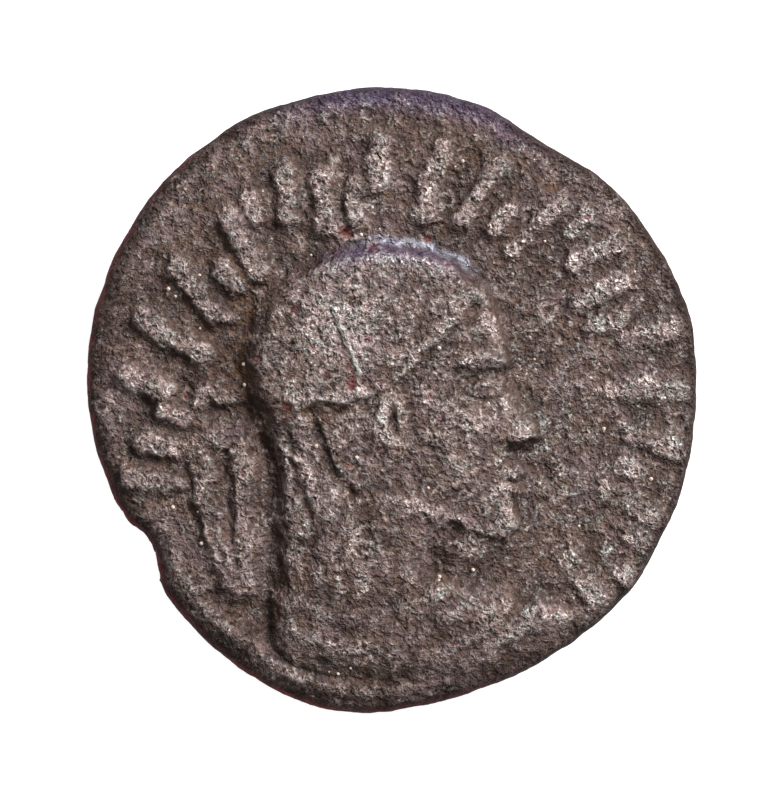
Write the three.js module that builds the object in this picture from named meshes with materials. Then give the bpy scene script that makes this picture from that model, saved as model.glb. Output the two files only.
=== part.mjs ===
// A worn, hand-struck bronze coin of tetradrachm size, lying on its reverse, in millimetres.
// +Z is up, out of the obverse. +Y is the top of the portrait, and the head on it looks along +X.
// The origin is on the plane that the coin rests on, under the middle of its outline.
// The flan, the portrait and the marks are one solid: two pressed faces that meet at the rim.
import * as THREE from "three";

// Flan, the cast blank that was struck
const flanRadius = 11.12;
const flanThickness = 2.4; // between the two fields, without the relief
const flanDrift = 0.16; // how far the blank spread towards flanDriftAngle
const flanDriftAngle = 94;
const edgeRound = 0.42; // width of the rounded edge, seen from above
const edgeRoundSwing = 0.16; // how much wider it is at edgeRoundAngle
const edgeRoundAngle = 205;
const fieldBuckle = 0.05; // height of the slow waves in both fields

// Swellings, flats and the edge chip of the rim: where in degrees, how far out in mm, how broad in degrees
const rimSwellings = [
  { at: 16, out: 0.14, spread: 11 },
  { at: 59, out: -0.37, spread: 11 },
  { at: 126, out: 0.25, spread: 35 },
  { at: 203, out: -0.38, spread: 22 },
  { at: 211, out: -0.52, spread: 6.7 },
  { at: 258, out: 0.5, spread: 20 },
  { at: 321, out: 0.12, spread: 10 },
];

// Portrait, with its own shapes as shares of the head's height
const headHeight = 10.8;
const headMiddleX = 0.24;
const headMiddleY = 0.05;
const headTilt = 2;
const headRelief = 0.95;
const bustRelief = 0.5;
const tieRelief = 0.3;
const tieWidth = 0.95;

// Ring of struck marks round the portrait
const markRingX = 0.38;
const markRingY = -1.02;
const markInset = 2.25; // from the flan's radius to the middle line of the marks
const markLength = 2.9;
const markWidth = 0.8;
const markRelief = 0.36;
const markFirst = 189; // degrees, the lower left
const markLast = -36; // the lower right
const markCount = 16;

// Low lip of metal along the lower left of the rim
const lipInset = 1.15;
const lipWidth = 0.8;
const lipRelief = 0.16;
const lipAngle = 243;
const lipSpread = 34;

// Reverse: a standing figure between marks and a border line, all worn down to one plane
const reverseStruck = 0.6; // as struck
const reverseRelief = 0.42; // as worn
const figureHeight = 13.2;
const figureX = 0.0;
const figureY = 0.0;
const borderInset = 1.35;
const borderWidth = 0.8;
const reverseMarkInset = 3.1;
const reverseMarkLength = 2.2;
const reverseMarkWidth = 0.7;
const reverseMarkCount = 9;

// Facets: the rings of vertices from the middle to the rim, and how many more each ring has
const innerRings = 25;
const edgeRings = 3;
const pointsPerRing = 6;

const halfThickness = flanThickness / 2;
const middleZ = halfThickness + reverseRelief;
const radians = THREE.MathUtils.degToRad;
const { clamp, lerp } = THREE.MathUtils;

const easeIn = (t) => THREE.MathUtils.smoothstep(t, 0, 1);

// A quarter round: steep at 0, level at 1.
const quarterRound = (t) => Math.sqrt(1 - (1 - clamp(t, 0, 1)) ** 2);

// A soft bump round (u, v), from 1 in its middle to 0: its two half widths, and its turn in degrees.
function bump(u, v, { at, size, turn = 0 }) {
  const angle = radians(turn);
  const du = u - at[0];
  const dv = v - at[1];
  const along = (du * Math.cos(angle) + dv * Math.sin(angle)) / size[0];
  const across = (dv * Math.cos(angle) - du * Math.sin(angle)) / size[1];
  return Math.exp(-(along ** 2) - across ** 2);
}

// Distance from (x, y) to the stretch from one point to another, and how far along it the nearest point is.
function nearStretch(x, y, [fromX, fromY], [toX, toY]) {
  const runX = toX - fromX;
  const runY = toY - fromY;
  const square = runX ** 2 + runY ** 2;
  const share = square && clamp(((x - fromX) * runX + (y - fromY) * runY) / square, 0, 1);
  return { distance: Math.hypot(x - fromX - share * runX, y - fromY - share * runY), share };
}

// Distance from (x, y) to an open line of points.
function nearLine(x, y, points) {
  let nearest = Infinity;
  for (let i = 1; i < points.length; i++) {
    nearest = Math.min(nearest, nearStretch(x, y, points[i - 1], points[i]).distance);
  }
  return nearest;
}

// How far (x, y) is inside a closed outline, negative outside it.
function inset(x, y, outline) {
  let nearest = Infinity;
  let inside = false;
  outline.forEach((to, i) => {
    const from = outline[(i + outline.length - 1) % outline.length];
    nearest = Math.min(nearest, nearStretch(x, y, from, to).distance);
    const crosses = from[1] > y !== to[1] > y;
    if (crosses && x < ((to[0] - from[0]) * (y - from[1])) / (to[1] - from[1]) + from[0]) {
      inside = !inside;
    }
  });
  return inside ? nearest : -nearest;
}

// A smooth line through points, closed or open, as short stretches.
function smoothLine(points, closed) {
  const places = points.map(([u, v]) => new THREE.Vector3(u, v, 0));
  const curve = new THREE.CatmullRomCurve3(places, closed, "catmullrom", 0.5);
  const stretches = 5;
  return curve.getPoints(points.length * stretches).map((p) => [p.x, p.y]);
}

// Outline of the head and neck, a plain classical profile on the usual proportions:
// the eye half way up, and brow, nose and chin a third of the face apart.
const headOutline = smoothLine(
  [
    [0.44, 1.0], [0.64, 0.975], [0.79, 0.89], [0.86, 0.78], [0.885, 0.68], // crown and forehead
    [0.9, 0.605], [0.888, 0.55], [0.93, 0.46], [0.985, 0.375], [0.965, 0.33], // brow and nose
    [0.91, 0.305], [0.93, 0.245], [0.908, 0.21], [0.925, 0.17], // lips
    [0.893, 0.13], [0.91, 0.07], [0.86, 0.005], [0.77, 0.0], // chin
    [0.66, 0.04], [0.61, -0.03], [0.6, -0.16], [0.66, -0.28], // throat
    [0.4, -0.32], [0.1, -0.28], [0.085, -0.1], [0.085, 0.12], [0.085, 0.3], // nape
    [0.04, 0.42], [0.0, 0.56], [0.015, 0.72], [0.085, 0.86], [0.24, 0.965], // back of the head
  ],
  true,
);

// Shoulders and chest under a draped cloak, cut off in a shallow curve.
const bustOutline = smoothLine(
  [
    [0.06, -0.12], [0.05, -0.28], [0.12, -0.37], [0.3, -0.42], [0.54, -0.44], [0.78, -0.4],
    [0.98, -0.32], [1.06, -0.24], [1.0, -0.17], [0.86, -0.13], [0.7, -0.08], [0.4, -0.02], [0.14, -0.04],
  ],
  true,
);

// The thick cap of hair, from the forehead over the ear to its rolled edge at the nape.
const hairCap = smoothLine(
  [
    [0.9, 0.93], [0.79, 0.83], [0.7, 0.74], [0.61, 0.65], [0.52, 0.57], [0.42, 0.51], [0.32, 0.485],
    [0.2, 0.49], [0.08, 0.475], [-0.08, 0.44], [-0.2, 0.8], [0.2, 1.2], [0.7, 1.2],
  ],
  true,
);

// Longer hair that hangs from under the cap to the shoulder.
const neckHair = smoothLine(
  [
    [0.1, 0.5], [0.21, 0.49], [0.25, 0.38], [0.34, 0.2], [0.37, 0.04], [0.38, -0.14],
    [0.22, -0.2], [0.0, -0.16], [0.02, 0.1], [0.04, 0.34],
  ],
  true,
);

// The diadem band, and its two ends behind the neck: a loop and two hanging tails.
const diadem = smoothLine([[0.9, 0.735], [0.7, 0.7], [0.48, 0.63], [0.24, 0.57], [-0.04, 0.545]], false);
const diademEnds = [
  [[-0.02, 0.52], [-0.07, 0.5], [-0.1, 0.53], [-0.155, 0.51], [-0.175, 0.44], [-0.12, 0.39], [-0.03, 0.41]],
  [[-0.165, 0.43], [-0.18, 0.3], [-0.165, 0.16], [-0.125, 0.02], [-0.1, -0.08]],
  [[-0.03, 0.42], [-0.04, 0.28], [-0.035, 0.12], [-0.045, -0.04], [-0.05, -0.12]],
].map((points) => smoothLine(points, false));

// Forms of the face and ear: place and half widths as shares of the head's height, rise as a share of its relief.
const faceForms = [
  { at: [0.8, 0.615], size: [0.1, 0.03], turn: -6, rise: 0.12 }, // brow
  { at: [0.79, 0.535], size: [0.075, 0.045], rise: -0.2 }, // eye socket
  { at: [0.79, 0.528], size: [0.042, 0.026], turn: -4, rise: 0.2 }, // eye
  { at: [0.68, 0.4], size: [0.12, 0.09], turn: -20, rise: 0.1 }, // cheek
  { at: [0.905, 0.35], size: [0.032, 0.026], rise: 0.14 }, // wing of the nose
  { at: [0.865, 0.29], size: [0.02, 0.06], turn: 12, rise: -0.08 }, // fold beside the nose
  { at: [0.905, 0.238], size: [0.042, 0.017], turn: -5, rise: 0.12 }, // upper lip
  { at: [0.895, 0.208], size: [0.05, 0.009], turn: -5, rise: -0.14 }, // mouth
  { at: [0.895, 0.178], size: [0.038, 0.018], turn: -5, rise: 0.12 }, // lower lip
  { at: [0.865, 0.065], size: [0.05, 0.045], rise: 0.12 }, // chin
  { at: [0.64, 0.1], size: [0.17, 0.03], turn: -24, rise: 0.08 }, // edge of the jaw
  { at: [0.62, -0.04], size: [0.2, 0.05], turn: -20, rise: -0.22 }, // under the jaw
  { at: [0.47, 0.42], size: [0.045, 0.085], turn: 8, rise: 0.2 }, // ear
  { at: [0.482, 0.425], size: [0.02, 0.05], turn: 8, rise: -0.2 }, // hollow of the ear
];

const capRise = 0.17; // of the cap of hair over the face, in shares of the relief
const neckHairRise = 0.12;
const diademRise = 0.07;
const edgeSoftness = 0.055; // width of a soft step between two forms, in shares of the head's height

// The head's own frame: shares of its height, from the nape and under the chin.
function inHead(x, y) {
  const angle = radians(headTilt);
  const right = (x - headMiddleX) / headHeight;
  const up = (y - headMiddleY) / headHeight;
  return [
    0.5 + right * Math.cos(angle) + up * Math.sin(angle),
    0.5 + up * Math.cos(angle) - right * Math.sin(angle),
  ];
}

// Height of the head and neck over the field.
function headHeightAt(u, v) {
  const depth = inset(u, v, headOutline);
  if (depth <= 0) {
    return 0;
  }
  const swell = 0.45 * easeIn(depth / edgeSoftness) + 0.55 * quarterRound(depth / 0.3);
  const forms = faceForms.reduce((sum, form) => sum + form.rise * bump(u, v, form), 0);
  const cap = capRise * easeIn(inset(u, v, hairCap) / edgeSoftness + 0.5);
  const hair = neckHairRise * easeIn(inset(u, v, neckHair) / edgeSoftness + 0.5) * (1 - cap / capRise);
  const band = diademRise * easeIn(1.5 - nearLine(u, v, diadem) / 0.022);
  const neckFall = 1 - 0.34 * easeIn((0.1 - v) / 0.34);
  const edgeFade = easeIn(depth / edgeSoftness);
  return headRelief * (0.83 * swell * neckFall + edgeFade * (forms * (1 - cap / capRise) + cap + hair + band));
}

// Height of the draped bust: curved folds that hang from the shoulder.
function bustHeightAt(u, v) {
  const depth = inset(u, v, bustOutline);
  if (depth <= 0) {
    return 0;
  }
  const hang = Math.hypot((u - 0.36) / 1.3, v - 0.03);
  const fold = 0.16 * Math.cos((2 * Math.PI * hang) / 0.085);
  return bustRelief * (easeIn(depth / edgeSoftness) * (0.5 + fold) + 0.4 * quarterRound(depth / 0.16));
}

// A raised stroke or ribbon, worn soft: 1 on its middle line, and about half of that at half its width.
const strokeProfile = (distance, width) => easeIn(1.3 - (1.65 * distance) / width);

// Strokes of each mark, as points across and out in shares of the mark's length: bars and ticks that all lean
// one way, and never meet or cross.
const markStrokes = [
  [[[-0.24, -0.4], [-0.06, 0.38]], [[0.18, -0.34], [0.24, -0.1]]],
  [[[-0.24, -0.1], [-0.1, 0.42]], [[0.14, -0.42], [0.3, 0.14]]],
  [[[-0.04, -0.42], [0.0, 0.02], [0.12, 0.42]]],
  [[[-0.2, -0.44], [-0.04, 0.3]], [[0.24, 0.1], [0.3, 0.36]]],
  [[[-0.2, -0.38], [-0.12, -0.08]], [[0.12, -0.06], [0.26, 0.42]]],
];

// The nearest stroke of a ring of marks round (centreX, centreY), as 0 to 1, each mark turned to stand on the ring.
function marksAt(x, y, ring) {
  let height = 0;
  for (let i = 0; i < ring.count; i++) {
    const angle = radians(lerp(ring.first, ring.last, i / (ring.count - 1)));
    const [outX, outY] = [Math.cos(angle), Math.sin(angle)];
    const right = x - ring.x - ring.radius * outX;
    const up = y - ring.y - ring.radius * outY;
    if (Math.hypot(right, up) > ring.length) {
      continue;
    }
    const across = (right * outY - up * outX) / ring.length;
    const out = (right * outX + up * outY) / ring.length;
    markStrokes[(3 * i + 1) % markStrokes.length].forEach((stroke) => {
      const distance = nearLine(across, out, stroke) * ring.length;
      height = Math.max(height, strokeProfile(distance, ring.width));
    });
  }
  return height;
}

const obverseMarks = {
  x: markRingX, y: markRingY, radius: flanRadius - markInset, length: markLength,
  width: markWidth, first: markFirst, last: markLast, count: markCount,
};
const reverseMarks = {
  x: 0, y: 0, radius: flanRadius - reverseMarkInset, length: reverseMarkLength,
  width: reverseMarkWidth, first: 80, last: -70, count: reverseMarkCount,
};

const slowWave = (x, y) => fieldBuckle * (Math.cos(0.31 * x + 0.17 * y + 0.6) + Math.sin(0.26 * y - 0.22 * x));

// Angle between two directions in degrees, from -180 to 180.
const turnBetween = (from, to) => THREE.MathUtils.euclideanModulo(to - from + 180, 360) - 180;

// The lip of the rim, 0 to 1.
function lipAt(x, y) {
  const angle = THREE.MathUtils.radToDeg(Math.atan2(y, x));
  const away = Math.hypot(x, y) - (rimRadius(radians(angle)) - lipInset);
  return bump(away, turnBetween(lipAngle, angle), { at: [0, 0], size: [lipWidth / 2, lipSpread] });
}

// Height over the obverse field. The marks are weaker at the lower right, where the strike was light.
function obverseAt(x, y) {
  const [u, v] = inHead(x, y);
  const ties = diademEnds.reduce(
    (most, line) => Math.max(most, strokeProfile(nearLine(u, v, line) * headHeight, tieWidth)),
    0,
  );
  const strike = clamp(0.82 + 0.03 * (y - x), 0.5, 1);
  return (
    slowWave(x, y) +
    lipRelief * lipAt(x, y) +
    Math.max(
      headHeightAt(u, v),
      bustHeightAt(u, v),
      tieRelief * ties,
      markRelief * strike * marksAt(x, y, obverseMarks),
    )
  );
}

// The standing figure's limbs and attributes: from, to and their two half widths, in shares of its height.
const figureParts = [
  { from: [0, 0.415], to: [0, 0.4], wide: [0.07, 0.07] }, // head
  { from: [0, 0.33], to: [0, 0.28], wide: [0.045, 0.06] }, // neck
  { from: [-0.06, 0.25], to: [0.06, 0.25], wide: [0.06, 0.06] }, // shoulders
  { from: [0, 0.22], to: [0, 0.06], wide: [0.12, 0.09] }, // chest and waist
  { from: [0, 0.04], to: [-0.01, -0.36], wide: [0.1, 0.16] }, // long robe
  { from: [0.11, 0.24], to: [0.21, 0.12], wide: [0.05, 0.042] }, // arm held out
  { from: [0.21, 0.12], to: [0.32, 0.21], wide: [0.042, 0.034] },
  { from: [-0.11, 0.24], to: [-0.19, 0.1], wide: [0.05, 0.042] }, // arm that holds the staff
  { from: [-0.19, 0.1], to: [-0.25, 0.17], wide: [0.042, 0.034] },
  { from: [-0.28, -0.45], to: [-0.25, 0.44], wide: [0.028, 0.028] }, // staff
  { from: [-0.34, -0.48], to: [0.34, -0.48], wide: [0.028, 0.028] }, // ground line
];
const wreath = { at: [0.38, 0.28], radius: 0.07, wide: 0.03 };
const foldWidth = 0.09; // of the robe's hanging folds, in shares of the figure's height
const foldDepth = 0.5; // in shares of the struck relief

// Height of the figure, 0 to 1, with hanging folds on its robe.
function figureAt(x, y) {
  const u = (x - figureX) / figureHeight;
  const v = (y - figureY) / figureHeight;
  const fromWreath = Math.abs(Math.hypot(u - wreath.at[0], v - wreath.at[1]) - wreath.radius);
  let height = strokeProfile(fromWreath, 2 * wreath.wide);
  figureParts.forEach(({ from, to, wide }) => {
    const { distance, share } = nearStretch(u, v, from, to);
    height = Math.max(height, strokeProfile(distance, 2 * lerp(wide[0], wide[1], share)));
  });
  const onRobe = easeIn((-0.02 - v) / 0.12);
  const fan = 1 - v; // the folds spread towards the hem
  const fold = 0.5 - 0.5 * Math.cos((2 * Math.PI * u) / (foldWidth * fan));
  return height * (1 - foldDepth * onRobe * fold);
}

// Height over the reverse field, worn down to one plane.
function reverseAt(x, y) {
  const fromBorder = Math.abs(Math.hypot(x, y) - (flanRadius - borderInset));
  const border = strokeProfile(fromBorder, borderWidth);
  const struck = Math.max(figureAt(x, y), border, marksAt(x, y, reverseMarks));
  return Math.min(slowWave(y, x) + reverseStruck * struck, reverseRelief);
}

// Outer radius of the flan, by angle.
function rimRadius(angle) {
  const drift = flanDrift * Math.cos(angle - radians(flanDriftAngle));
  return rimSwellings.reduce((radius, { at, out, spread }) => {
    const away = turnBetween(at, THREE.MathUtils.radToDeg(angle));
    return radius + out * Math.exp(-((away / spread) ** 2));
  }, flanRadius + drift);
}

// Place and steepness of ring i at an angle. The inner rings are even, and the last ones go round the edge.
function ringPlace(i, angle) {
  const round = edgeRound + edgeRoundSwing * Math.cos(angle - radians(edgeRoundAngle));
  const level = rimRadius(angle) - round;
  if (i <= innerRings) {
    return { radius: (level * i) / innerRings, share: 1 };
  }
  const turn = (Math.PI / 2) * ((i - innerRings) / edgeRings);
  return { radius: level + round * Math.sin(turn), share: i === innerRings + edgeRings ? 0 : Math.cos(turn) };
}

// Ring i of either face, from the middle point to the rim, where both faces share their points.
function ringPoints(i, side, heightAt) {
  const count = Math.max(1, i * pointsPerRing);
  return Array.from({ length: count }, (_, k) => {
    const angle = (2 * Math.PI * k) / count;
    const { radius, share } = ringPlace(i, angle);
    const x = radius * Math.cos(angle);
    const y = radius * Math.sin(angle);
    return [x, y, middleZ + side * share * (halfThickness + heightAt(x, y))];
  });
}

// Triangles of the band between ring i - 1 and ring i: in each sector the outer ring has one stretch more.
function bandFaces(i, inner, outer) {
  const faces = [];
  const at = (ring, k) => ring[k % ring.length];
  for (let sector = 0; sector < pointsPerRing; sector++) {
    for (let k = 0; k < i; k++) {
      const out = sector * i + k;
      const within = sector * (i - 1) + k;
      faces.push([at(inner, within), at(outer, out), at(outer, out + 1)]);
      if (k < i - 1) {
        faces.push([at(inner, within), at(outer, out + 1), at(inner, within + 1)]);
      }
    }
  }
  return faces;
}

// One face of the coin: side is 1 for the obverse and -1 for the reverse.
function pressedFace(side, heightAt) {
  const faces = [];
  let inner = ringPoints(0, side, heightAt);
  for (let i = 1; i <= innerRings + edgeRings; i++) {
    const outer = ringPoints(i, side, heightAt);
    faces.push(...bandFaces(i, inner, outer));
    inner = outer;
  }
  return side > 0 ? faces : faces.map((face) => face.slice().reverse());
}

// The whole coin, moved so that the origin is under the middle of its outline.
function coinGeometry() {
  const faces = [...pressedFace(1, obverseAt), ...pressedFace(-1, reverseAt)];
  const geometry = new THREE.BufferGeometry();
  geometry.setAttribute("position", new THREE.Float32BufferAttribute(faces.flat(2), 3));
  geometry.computeBoundingBox();
  const middle = geometry.boundingBox.getCenter(new THREE.Vector3());
  geometry.translate(-middle.x, -middle.y, 0);
  geometry.computeVertexNormals();
  return geometry;
}

const patina = new THREE.MeshStandardMaterial({ color: 0x695b57, roughness: 0.62, metalness: 0.55 });

const coin = new THREE.Mesh(coinGeometry(), patina);
coin.name = "coin";

const part = new THREE.Group();
part.add(coin);

export default part;
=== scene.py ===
# %% [markdown]
# # A worn, hand-struck coin
#
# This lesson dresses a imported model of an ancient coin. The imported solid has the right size, outline and
# main relief, in facets of about 0.4 mm. Here it gets a mesh that is nearly five times finer, with the
# small forms of the portrait, the corrosion and the soil, and one procedural material.
#
# A coin is two shallow reliefs back to back. So each face is worked out as a height over a flat field, one
# form at a time, which is also how a die cutter works. The heights then become one closed mesh.

# %% Load the frame
import math

import bpy
import numpy as np
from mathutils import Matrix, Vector, noise


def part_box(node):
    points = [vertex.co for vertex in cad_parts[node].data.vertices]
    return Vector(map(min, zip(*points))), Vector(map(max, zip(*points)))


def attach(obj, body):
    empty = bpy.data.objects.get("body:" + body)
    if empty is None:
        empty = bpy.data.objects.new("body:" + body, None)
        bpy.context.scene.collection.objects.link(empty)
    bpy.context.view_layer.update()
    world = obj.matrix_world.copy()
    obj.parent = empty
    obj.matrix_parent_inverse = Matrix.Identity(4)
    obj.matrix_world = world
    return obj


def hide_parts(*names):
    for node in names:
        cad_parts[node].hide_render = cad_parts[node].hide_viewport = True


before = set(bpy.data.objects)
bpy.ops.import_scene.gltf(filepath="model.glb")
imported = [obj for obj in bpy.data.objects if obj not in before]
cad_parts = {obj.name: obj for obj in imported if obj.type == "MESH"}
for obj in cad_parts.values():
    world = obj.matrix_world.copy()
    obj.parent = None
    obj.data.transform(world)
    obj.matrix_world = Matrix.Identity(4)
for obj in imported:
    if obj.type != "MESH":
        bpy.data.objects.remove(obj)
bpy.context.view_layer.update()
coin_low, coin_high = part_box("coin")
MM = 0.001
print("coin box in mm:", [round(value / MM, 2) for value in (*coin_low, *coin_high)])

# %% [markdown]
# ## Camera
#
# The photograph looks straight down on the coin, and fills 800 rows of pixels with 29.2 mm. A long lens
# keeps the rim from leaning, as it is in a catalogue picture.

# %% Camera
FRAME_MM = 29.2
LENS_MM = 100
SENSOR_MM = 36
RIM_HEIGHT_MM = 1.6

camera_data = bpy.data.cameras.new("camera")
camera_data.lens = LENS_MM
camera_data.sensor_width = SENSOR_MM
camera_data.clip_start = 0.001
camera = bpy.data.objects.new("camera", camera_data)
camera.location = (0, 0, (RIM_HEIGHT_MM + FRAME_MM * LENS_MM / SENSOR_MM) * MM)
bpy.context.scene.collection.objects.link(camera)
bpy.context.scene.camera = camera
print("camera height in mm:", round(camera.location.z / MM, 1))

# %% [markdown]
# ## Tools for a relief
#
# Every form on a die is an area, a line or a bump with a soft edge. These few functions measure where each
# point of the face lies against such a form. They take whole arrays of points at once, because numpy works
# through a hundred thousand points in the time that a Python loop takes for a few hundred.


# %% Soft steps and bumps
def ease(t):
    """A smooth step from 0 to 1 while t goes from 0 to 1."""
    t = np.clip(t, 0, 1)
    return t * t * (3 - 2 * t)


def quarter_round(t):
    """A quarter of a circle: steep at 0 and level at 1."""
    return np.sqrt(1 - (1 - np.clip(t, 0, 1)) ** 2)


def bump(u, v, at, size, turn=0):
    """A soft hill round a place, with two half widths and a turn in degrees."""
    angle = math.radians(turn)
    du, dv = u - at[0], v - at[1]
    along = (du * math.cos(angle) + dv * math.sin(angle)) / size[0]
    across = (dv * math.cos(angle) - du * math.sin(angle)) / size[1]
    return np.exp(-(along**2) - across**2)


def soft_line(distance, width):
    """1 on a line, falling off softly over a width to both sides."""
    return np.exp(-((distance / width) ** 2))


print("ease at 0, a quarter, a half and 1:", [round(float(ease(t)), 2) for t in (0, 0.25, 0.5, 1)])


# %% Lines
def smooth_line(points, closed=False, steps=6):
    """A smooth line through points, as short stretches."""
    p = np.array(points, float)
    if closed:
        p = np.vstack([p[-1:], p, p[:2]])
    else:
        p = np.vstack([2 * p[:1] - p[1:2], p, 2 * p[-1:] - p[-2:-1]])
    before, start, end, after = p[:-3], p[1:-2], p[2:-1], p[3:]
    line = []
    for t in np.linspace(0, 1, steps, endpoint=False):
        leave = (t**3 - 2 * t**2 + t) * (end - before) / 2
        arrive = (t**3 - t**2) * (after - start) / 2
        turn = 3 * t**2 - 2 * t**3
        line.append(start * (1 - turn) + end * turn + leave + arrive)
    line = np.stack(line, axis=1).reshape(-1, 2)
    return line if closed else np.vstack([line, end[-1:]])


def near_stretch(x, y, start, end):
    """Distance to a straight stretch, and how far along it the nearest point is."""
    run_x, run_y = end[0] - start[0], end[1] - start[1]
    square = run_x**2 + run_y**2
    share = np.clip(((x - start[0]) * run_x + (y - start[1]) * run_y) / max(square, 1e-12), 0, 1)
    return np.hypot(x - start[0] - share * run_x, y - start[1] - share * run_y), share


def near_line(x, y, points):
    """Distance to an open line of points."""
    return np.minimum.reduce([near_stretch(x, y, a, b)[0] for a, b in zip(points, points[1:])])


def side_of_line(x, y, points, towards):
    """Distance to an open line, and how squarely a point lies on the side that a direction names."""
    distance = np.full(x.shape, np.inf)
    side = np.zeros(x.shape)
    for start, end in zip(points, points[1:]):
        away, share = near_stretch(x, y, start, end)
        off_x = x - start[0] - share * (end[0] - start[0])
        off_y = y - start[1] - share * (end[1] - start[1])
        squarely = (off_x * towards[0] + off_y * towards[1]) / np.maximum(away, 1e-9)
        side = np.where(away < distance, squarely, side)
        distance = np.minimum(distance, away)
    return distance, side


print("points on a smooth bend through 3 points:", len(smooth_line([(0, 0), (1, 0.5), (2, 0)])))


# %% Outlines and uneven ground
def inset(x, y, outline):
    """How far points are inside a closed outline, negative outside it."""
    nearest = np.full(x.shape, np.inf)
    inside = np.zeros(x.shape, bool)
    for start, end in zip(outline, np.roll(outline, -1, axis=0)):
        nearest = np.minimum(nearest, near_stretch(x, y, start, end)[0])
        if start[1] != end[1]:
            crossing = start[0] + (end[0] - start[0]) * (y - start[1]) / (end[1] - start[1])
            inside ^= ((start[1] > y) != (end[1] > y)) & (x < crossing)
    return np.where(inside, nearest, -nearest)


def rough(x, y, per_mm, octaves=4, layer=0.0):
    """Natural unevenness from about -1 to 1. per_mm is how many lumps fit in a millimetre."""
    places = zip(x * per_mm, y * per_mm, np.broadcast_to(layer, x.shape))
    return np.array([noise.fractal(Vector(place), 1.0, 2.0, octaves) for place in places])


unit_square = np.array([(0, 0), (1, 0), (1, 1), (0, 1)])
print("a quarter in from a square's side:", inset(np.array([0.25]), np.array([0.5]), unit_square))

# %% [markdown]
# ## Flan
#
# The flan is the cast blank that was struck. This one is thick and not quite round, with a flat at the
# upper right and a chip at the lower left. Its radius is a circle plus a few swellings, each a soft hill in
# the angle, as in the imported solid. A little noise on top makes the cut and worn edge. The outline could be
# a curve drawn by hand, but each swelling in the list can be moved or resized by one number.

# %% Outline of the flan
FLAN_RADIUS = 11.12
FLAN_THICKNESS = 2.4  # between the two fields
FLAN_DRIFT, FLAN_DRIFT_ANGLE = 0.16, 94
EDGE_ROUND, EDGE_ROUND_SWING, EDGE_ROUND_ANGLE = 0.42, 0.16, 205
RIM_SWELLINGS = [
    {"at": 16, "out": 0.14, "spread": 11},
    {"at": 59, "out": -0.37, "spread": 11},
    {"at": 126, "out": 0.25, "spread": 35},
    {"at": 203, "out": -0.38, "spread": 22},
    {"at": 211, "out": -0.52, "spread": 6.7},
    {"at": 258, "out": 0.5, "spread": 20},
    {"at": 321, "out": 0.12, "spread": 10},
]
RIM_RAGGED = 0.05


def turn_between(start, end):
    """Angle between two directions in degrees, from -180 to 180."""
    return (end - start + 180) % 360 - 180


def rim_radius(angle):
    """Outer radius of the flan in millimetres, for angles in radians."""
    radius = FLAN_RADIUS + FLAN_DRIFT * np.cos(angle - math.radians(FLAN_DRIFT_ANGLE))
    for swelling in RIM_SWELLINGS:
        away = turn_between(swelling["at"], np.degrees(angle))
        radius = radius + swelling["out"] * np.exp(-((away / swelling["spread"]) ** 2))
    return radius + RIM_RAGGED * rough(FLAN_RADIUS * np.cos(angle), FLAN_RADIUS * np.sin(angle), 0.7, 5)


radii = rim_radius(np.radians(np.arange(0, 360, 2)))
print("radius of the flan in mm:", round(float(radii.min()), 2), "to", round(float(radii.max()), 2))

# %% [markdown]
# ## Grid of points
#
# Each face is a disc of rings. Ring 1 has a few points, ring 2 twice as many, ring 3 three times as many, and
# so on, so the triangles stay even from the middle to the rim. The last rings go round the edge, down to the
# middle of its height, where both faces share their points. The obverse has twice as many rings, because the
# camera looks at it.

# %% Rings of both faces
OBVERSE = {"sectors": 6, "rings": 144, "edge_rings": 11}
REVERSE = {"sectors": 12, "rings": 72, "edge_rings": 7}
REVERSE_WORN = 0.42  # height of the worn reverse relief
MIDDLE_Z = FLAN_THICKNESS / 2 + REVERSE_WORN


def ring_grid(face):
    """x, y and steepness of the points of a face, ring by ring from the middle."""
    sizes = [max(1, ring * face["sectors"]) for ring in range(face["rings"] + 1)]
    ring = np.repeat(np.arange(face["rings"] + 1), sizes)
    angle = np.concatenate([2 * math.pi * np.arange(size) / size for size in sizes])
    outline = rim_radius(2 * math.pi * np.arange(sizes[-1]) / sizes[-1])
    rim = np.interp(angle, 2 * math.pi * np.arange(sizes[-1] + 1) / sizes[-1], np.append(outline, outline[0]))
    width = EDGE_ROUND + EDGE_ROUND_SWING * np.cos(angle - math.radians(EDGE_ROUND_ANGLE))
    inner = face["rings"] - face["edge_rings"]
    turn = math.pi / 2 * np.clip((ring - inner) / face["edge_rings"], 0, 1)
    radius = (rim - width) * np.minimum(ring / inner, 1) + width * np.sin(turn)
    share = np.where(ring == face["rings"], 0, np.cos(turn))
    return radius * np.cos(angle), radius * np.sin(angle), share


def ring_faces(face):
    """Triangles between the rings, as rows of three point numbers."""
    triangles = []
    sectors = face["sectors"]
    start = 0
    for ring in range(1, face["rings"] + 1):
        inner_size, outer_size = max(1, sectors * (ring - 1)), sectors * ring
        outer_start = start + inner_size
        sector, k = np.divmod(np.arange(outer_size), ring)
        out = outer_start + np.arange(outer_size)
        next_out = outer_start + (np.arange(outer_size) + 1) % outer_size
        within = start + (sector * (ring - 1) + k) % inner_size
        next_within = start + (sector * (ring - 1) + k + 1) % inner_size
        triangles.append(np.stack([within, out, next_out], axis=1))
        gap = k < ring - 1
        triangles.append(np.stack([within, next_out, next_within], axis=1)[gap])
        start = outer_start
    return np.vstack(triangles)


x, y, steep = ring_grid(OBVERSE)
reverse_x, reverse_y, reverse_steep = ring_grid(REVERSE)
print("points:", len(x), "on the obverse,", len(reverse_x), "on the reverse")

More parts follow.
